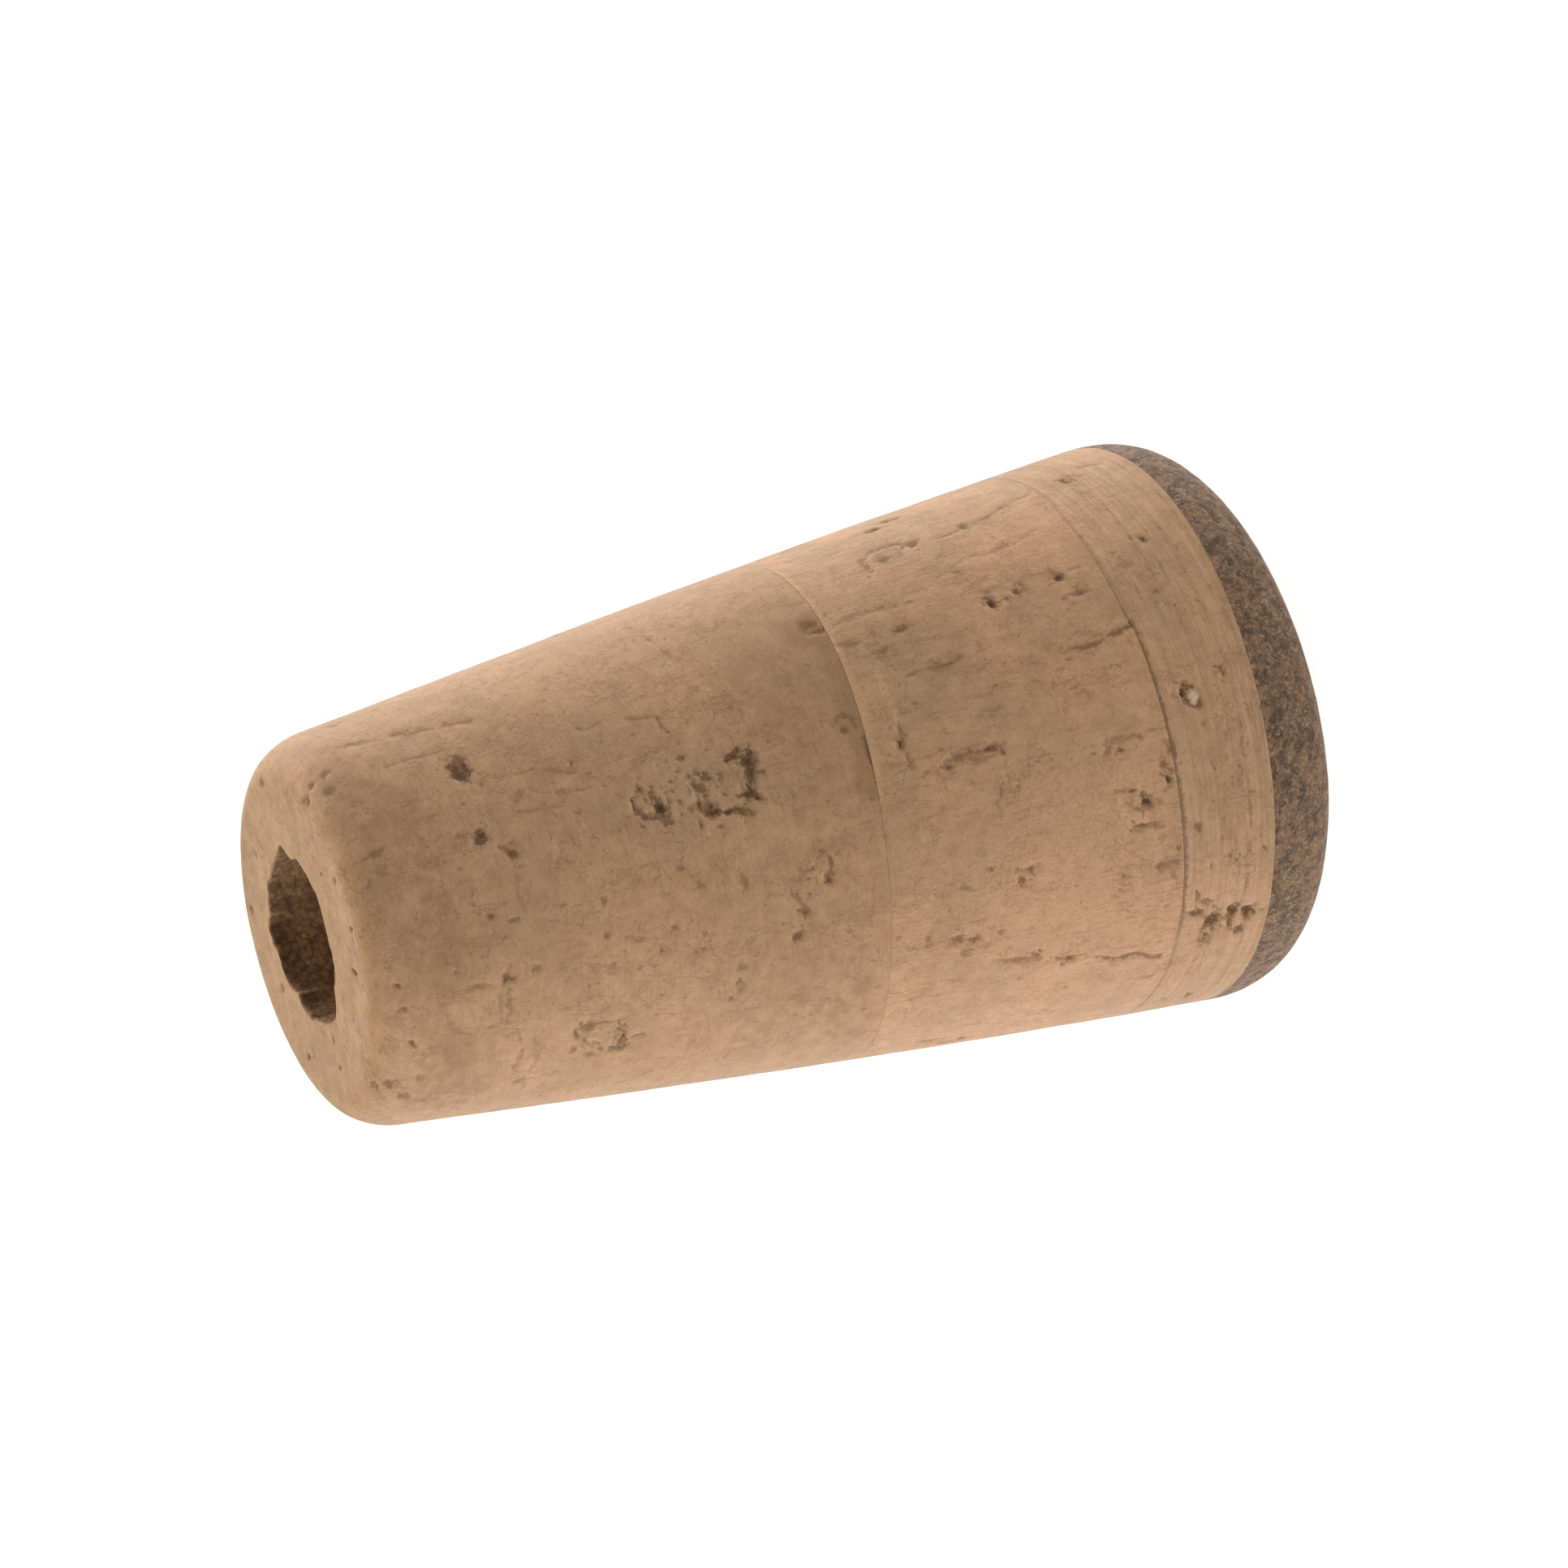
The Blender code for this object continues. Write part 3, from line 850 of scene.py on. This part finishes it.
    def see_through_from_behind(self):
        """Lets a view from below pass through the back of the surface."""
        geometry = self.nodes.new("ShaderNodeNewGeometry")
        clear = self.nodes.new("ShaderNodeBsdfTransparent")
        choice = self.nodes.new("ShaderNodeMixShader")
        self.links.new(geometry.outputs["Backfacing"], choice.inputs[0])
        self.links.new(self.shader.outputs[0], choice.inputs[1])
        self.links.new(clear.outputs[0], choice.inputs[2])
        self.links.new(choice.outputs[0], self.nodes["Material Output"].inputs["Surface"])

    def finish(self, colour, roughness, sheen):
        self.join(colour, self.shader.inputs["Base Color"])
        self.join(roughness, self.shader.inputs["Roughness"])
        self.shader.inputs["Specular IOR Level"].default_value = SPECULAR
        self.shader.inputs["Sheen Weight"].default_value = sheen
        self.shader.inputs["Sheen Roughness"].default_value = SHEEN_ROUGHNESS
        return self.material


SPECULAR = 0.30
SHEEN_ROUGHNESS = 0.45
TOP_MM = LENGTH / MM

PIT_COLOUR = (0.155, 0.078, 0.031)
SPECK_COLOUR = (0.18, 0.10, 0.044)
SQUIGGLE_COLOUR = (0.215, 0.118, 0.053)
HAIR_COLOUR = (0.225, 0.125, 0.057)
SHADE_COLOUR = (0.27, 0.145, 0.066)
PALE_COLOUR = (0.47, 0.31, 0.185)
# The rear ring's paler colour, also used for a painted highlight along its edge at the nose joint
PEACH_COLOUR = (0.60, 0.345, 0.185)
CREAM_COLOUR = (0.70, 0.50, 0.33)
END_GRAIN_TINT = (1.15, 1.12, 0.98)
MOUTH_PAINTED_SHADE = (0.62, 0.60, 0.58)


def cork_ground(tree, even, base, mottle, grain, lines, line_amount):
    """The cork between its marks: blotches of two colours, shaded by mottle, grain and fine lines."""
    blotches = tree.spread(tree.noise(even, 0.16, 4.0, 0.6, 0.4), 0.34, 0.66)
    tone = tree.plus(tree.spread(mottle, 0.25, 0.75, 0.87, 1.13),
                     tree.times(tree.centred(lines), line_amount))
    tone = tree.plus(tone, tree.times(tree.centred(grain), 0.55))
    colour = tree.shaded(tree.mix(blotches, *base), tone)
    end_grain = tree.spread(tree.height_mm(), TOP_MM - 0.9, TOP_MM - 0.1)
    return tree.mix(end_grain, colour, tree.scaled(colour, END_GRAIN_TINT))


def cork_patches(tree, colour, grain, light):
    """Paler and darker patches, from the mesh's pale attribute, some of them painted highlight and painted
    shade near the nose joint and on the nose's lower side.
    """
    pale = tree.attribute("pale")
    ragged = tree.times(tree.spread(grain, 0.35, 0.65, 0.45, 1.0), pale)
    colour = tree.mix(tree.spread(ragged, 0.0, 1.0), colour, light)
    shade = tree.spread(tree.times(pale, -1.0), 0.0, 1.0, 0.0, 0.55)
    return tree.mix(shade, colour, SHADE_COLOUR)


def cork_pits(tree, even, colour):
    """Frayed dark pits, cracks and glue lines, from the mesh's dark attribute, and small specks."""
    fray = tree.noise(even, 2.8, 5.0, 0.75, 0.4)
    frayed = tree.maths("MULTIPLY_ADD", tree.centred(fray), 2.3, tree.attribute("dark"))
    inside = tree.times(tree.spread(frayed, 0.28, 0.80), tree.attribute("strength"))
    colour = tree.mix(inside, colour, PIT_COLOUR)
    specks = tree.spread(tree.noise(even, 2.6, 2.0, 0.5, 0.5), 0.655, 0.74, 0.0, 0.5)
    return tree.mix(specks, colour, SPECK_COLOUR)


def cork(name, base, streak, streak_amount, hairs, light=PALE_COLOUR):
    """Sanded natural cork. streak and hairs stretch its fine lines: large numbers run across them."""
    tree = Tree(name)
    even = tree.stretched(1.0, 1.0, 1.0)
    mottle = tree.noise(even, 1.1, 5.0, 0.62, 0.3)
    grain = tree.noise(even, 5.5, 3.0, 0.7)
    lines = tree.noise(tree.stretched(*streak), 1.0, 4.0, 0.6)
    colour = cork_ground(tree, even, base, mottle, grain, lines, streak_amount)
    colour = tree.mix(tree.squiggles(even, 0.75, 0.024, 0.46, 0.45), colour, SQUIGGLE_COLOUR)
    colour = tree.mix(tree.squiggles(tree.stretched(*hairs), 1.0, 0.030, 0.48, 0.42), colour, HAIR_COLOUR)
    colour = cork_patches(tree, colour, grain, light)
    colour = cork_pits(tree, even, colour)
    tree.bump(tree.plus(tree.times(grain, 0.6), tree.times(lines, 0.7)), 0.00009, 0.55)
    return tree.finish(colour, tree.spread(mottle, 0.2, 0.8, 0.72, 0.92), 0.14)


def torn_cork(name):
    """The rough, darker wall of the bore, with painted shade towards the mouth."""
    tree = Tree(name)
    even = tree.stretched(1.0, 1.0, 0.9)
    crumbs = tree.cells(even, 3.0)
    grain = tree.noise(even, 3.6, 5.0, 0.75, 0.5)
    colour = tree.mix(tree.spread(grain, 0.3, 0.70), (0.40, 0.205, 0.094), (0.72, 0.445, 0.225))
    colour = tree.mix(tree.spread(crumbs, 0.45, 0.8, 0.0, 0.7), colour, SHADE_COLOUR)
    # Painted shade: the wall darkened towards the mouth, where the bore is seen.
    mouth = tree.spread(tree.height_mm(), TOP_MM - 2.6, TOP_MM)
    colour = tree.mix(mouth, colour, tree.scaled(colour, MOUTH_PAINTED_SHADE))
    tree.bump(tree.maths("SUBTRACT", grain, tree.times(crumbs, 0.6)), 0.0002, 0.8)
    return tree.finish(colour, tree.spread(grain, 0.2, 0.8, 0.80, 0.95), 0.05)


def rubberised_cork(name):
    """Small cork granules bound in dark rubber, with a painted highlight on the rounded edge near its
    face.
    """
    tree = Tree(name)
    even = tree.stretched(1.0, 1.0, 1.0)
    edges = tree.cells(even, 3.6, "Distance", "DISTANCE_TO_EDGE")
    fine = tree.noise(even, 6.0, 4.0, 0.65)
    granules = tree.noise(even, 1.7, 4.0, 0.7, 0.5)
    colour = tree.mix(tree.spread(granules, 0.34, 0.66), (0.100, 0.056, 0.031), (0.310, 0.183, 0.100))
    light = tree.spread(tree.noise(even, 3.6, 2.0, 0.5, 0.8), 0.58, 0.70, 0.0, 0.70)
    colour = tree.mix(light, colour, (0.40, 0.285, 0.19))
    colour = tree.mix(tree.spread(edges, 0.0, 0.06, 0.50, 0.0), colour, (0.080, 0.050, 0.032))
    colour = tree.shaded(colour, tree.spread(fine, 0.25, 0.75, 0.68, 1.34))
    # Painted highlight: paler within about a millimetre of the face, on the rounded edge.
    edge_highlight = tree.maths("MULTIPLY_ADD", tree.centred(fine), 1.2, tree.height_mm())
    colour = tree.mix(tree.spread(edge_highlight, 0.1, 1.3, 0.12, 0.0), colour, (0.38, 0.275, 0.185))
    tree.bump(tree.plus(tree.spread(edges, 0.0, 0.08), fine), 0.00006, 0.6)
    return tree.finish(colour, tree.spread(fine, 0.2, 0.8, 0.68, 0.90), 0.12)


# ---- the pieces

# Where the bore's mouth is torn: angle, half width in degrees, and mm outwards or, under 0, inwards
MOUTH_TEARS = [
    (0, 9, 0.42), (282, 8, 0.40), (272, 4, 0.25), (312, 6, 0.25), (155, 10, 0.22),
    (90, 11, -0.26), (132, 9, -0.30), (230, 6, -0.38), (185, 12, -0.06), (18, 8, -0.15),
]


def torn_mouth(angle):
    """How far the bore's mouth is torn out or left standing at each angle, in metres."""
    swell = 0.16 * np.cos(np.radians(angle - 285)) + 0.10 * np.cos(np.radians(3 * (angle - 40)))
    for centre, width, reach in MOUTH_TEARS:
        off = (angle - centre + 180.0) % 360.0 - 180.0
        swell = swell + reach * np.exp(-(off / width) ** 2)
    on_circle = np.stack([np.cos(np.radians(angle)), np.sin(np.radians(angle)), angle * 0], -1)
    return (swell + 0.10 * rough_noise(on_circle, 0.16, 77, 3)) * MM


def angle_of(points):
    """The angle round the bore of each point, from 0 to 360 degrees."""
    return np.degrees(np.arctan2(-points[:, 1], points[:, 0])) % 360.0


def proud_edge(points):
    """The rear ring stands a little proud of the nose along part of their joint."""
    angle = angle_of(points)
    near = smooth((points[:, 2] - 0.0212) / 0.0009)
    return 0.000012 * near * smooth((angle - 15) / 12) * smooth((98 - angle) / 12)


def sunk_edge(points):
    """The nose is sanded a little lower along the same stretch."""
    angle = angle_of(points)
    near = smooth((0.0262 - points[:, 2]) / 0.0026)
    return -0.00001 * near * smooth((angle - 15) / 12) * smooth((112 - angle) / 16)


def joint_height(lower, upper):
    """Half way across the gap between two stacked CAD rings."""
    return (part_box(lower)[1].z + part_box(upper)[0].z) / 2


def thin_details(more):
    """The thin ring's marks: growth lines that run round it, and the clusters of pores."""
    return {
        "pits": with_crumbs(34, THIN_PITS + more),
        "lines": THIN_LINES + outlines(THIN_OUTLINES)
        + scattered_lines(38, 12, (4.5, 8.2), (1.5, 6.0), 90),
        "patches": THIN_PATCHES, "seam": (0.70, 0.24, 64, 140), "seed": 50}


def rear_details(more):
    """The rear ring's marks, which run along the bore."""
    return {
        "pits": with_crumbs(31, REAR_PITS + more),
        "lines": REAR_LINES + outlines(REAR_OUTLINES) + fringes(32, REAR_PITS + more)
        + scattered_lines(37, 22, (10, 22.5), (1.0, 4.0), 0),
        "patches": REAR_PATCHES, "lift": proud_edge, "seam": (0.10, 0.05, 58, 92),
        # A painted highlight: a pale band along the rear ring's proud edge at the nose joint.
        "joint_light_shade": ("top", 0.50, 1.00, 16, 96), "wander": 0.55, "seed": 60}


def nose_details(more):
    """The nose's marks: round pores with crumbling rims, and cracks both ways."""
    return {
        "pits": with_crumbs(33, NOSE_PITS + more),
        "lines": NOSE_LINES + outlines(NOSE_OUTLINES)
        + scattered_lines(35, 16, (25, 48), (0.8, 3.4), 0)
        + scattered_lines(36, 14, (25, 48), (0.6, 2.4), 90),
        "face_pits": NOSE_FACE_PITS, "patches": NOSE_PATCHES_AND_SHADE, "lift": sunk_edge,
        # Painted shade: a darker band on the nose above its joint with the rear ring.
        "joint_light_shade": ("bottom", 1.5, -0.58, 40, 96), "seed": 70}


def make_rings():
    """The four rings, each standing for its CAD node."""
    rubber_top = joint_height("rubber_cork_base", "thin_cork_ring")
    thin_top = joint_height("thin_cork_ring", "rear_cork_ring")
    rear_top = joint_height("rear_cork_ring", "tapered_cork_nose")
    nose_more, rear_more, thin_more = more_pits()
    bore = torn_cork("torn_cork")
    nose_cork = cork("nose_cork", ((0.418, 0.252, 0.135), (0.478, 0.278, 0.149)),
                     (0.7, 0.7, 5.0), 0.30, (0.9, 0.9, 0.35))
    rear_cork = cork("rear_cork", ((0.432, 0.262, 0.142), (0.520, 0.296, 0.157)),
                     (4.5, 4.5, 0.6), 0.30, (1.1, 1.1, 0.22), PEACH_COLOUR)
    thin_cork = cork("thin_cork", ((0.425, 0.258, 0.141), (0.485, 0.284, 0.154)),
                     (0.12, 0.12, 4.5), 0.75, (0.12, 0.12, 1.2), CREAM_COLOUR)
    rubber = rubberised_cork("rubberised_cork")
    pieces = [
        ("rubber_cork_base", rubber, {"seed": 40},
         Ring(0.0, rubber_top - GLUE_FILM, flat, rubber_joint, fine_faces=(True, False))),
        ("thin_cork_ring", thin_cork, thin_details(thin_more),
         Ring(rubber_top + GLUE_FILM, thin_top - GLUE_FILM, rubber_joint, thin_joint)),
        ("rear_cork_ring", rear_cork, rear_details(rear_more),
         Ring(thin_top + GLUE_FILM, rear_top - GLUE_FILM, thin_joint, nose_joint)),
        ("tapered_cork_nose", nose_cork, nose_details(nose_more),
         Ring(rear_top + GLUE_FILM, LENGTH, nose_joint, flat, torn_mouth, (False, True))),
    ]
    for node, material, details, ring in pieces:
        piece = ring_piece("finished_" + node, ring, [material, bore], **details)
        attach(piece, "root")
        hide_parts(node)


FLOOR_SIZE = 8.0
FLOOR_DROP = 0.00005  # below the dark ring's face, so that the two never share a plane


def make_floor():
    """A plain white floor, bright enough from within to show hardly any shadow."""
    bpy.ops.mesh.primitive_plane_add(size=FLOOR_SIZE, location=(0.0, 0.0, -FLOOR_DROP))
    floor = bpy.context.object
    floor.name = "floor"
    tree = Tree("floor")
    tree.shader.inputs["Base Color"].default_value = (0.35, 0.35, 0.35, 1.0)
    tree.shader.inputs["Roughness"].default_value = 0.9
    tree.shader.inputs["Emission Color"].default_value = (1.0, 0.995, 0.99, 1.0)
    tree.shader.inputs["Emission Strength"].default_value = 0.93
    tree.see_through_from_behind()
    floor.data.materials.append(tree.material)


def softbox(name, location, size, watts):
    """A square soft light that faces the holder and isn't seen itself."""
    data = bpy.data.lights.new(name, "AREA")
    data.size = size
    data.energy = watts
    light = placed(name, data)
    light.location = location
    light.rotation_mode = "QUATERNION"
    light.rotation_quaternion = (CAMERA_AIM - Vector(location)).to_track_quat("-Z", "Y")
    light.visible_camera = False


# Each light's name, place, size in metres and watts
SOFTBOXES = [
    ("left_light", (-0.42, 0.05, 0.12), 0.40, 1.75),
    ("right_light", (0.38, 0.27, 0.12), 0.34, 3.05),
    ("top_light", (0.0, 0.05, 0.60), 0.30, 1.2),
]


def make_light():
    """Two large soft lights at the sides, a weak one above, and white all round."""
    for light in SOFTBOXES:
        softbox(*light)
    world = bpy.data.worlds.new("white_room")
    world.use_nodes = True
    background = world.node_tree.nodes["Background"]
    background.inputs["Color"].default_value = (1.0, 1.0, 1.0, 1.0)
    background.inputs["Strength"].default_value = 0.20
    bpy.context.scene.world = world
    bpy.context.scene.view_settings.view_transform = "Standard"


def make_camera():
    """Above and in front, rolled so that the nose points down to the left."""
    rise = radians(CAMERA_ELEVATION)
    back = Vector((0.0, -np.cos(rise), np.sin(rise)))
    data = bpy.data.cameras.new("camera")
    data.lens = CAMERA_LENS
    data.clip_start = 0.01
    data.clip_end = 10.0             # past the floor's far edge
    camera = placed("camera", data)
    camera.location = CAMERA_AIM + back * CAMERA_DISTANCE
    camera.rotation_mode = "QUATERNION"
    level = (-back).to_track_quat("-Z", "Y")
    camera.rotation_quaternion = level @ Quaternion((0.0, 0.0, 1.0), radians(CAMERA_ROLL))
    bpy.context.scene.camera = camera


make_camera()
make_rings()
make_floor()
make_light()
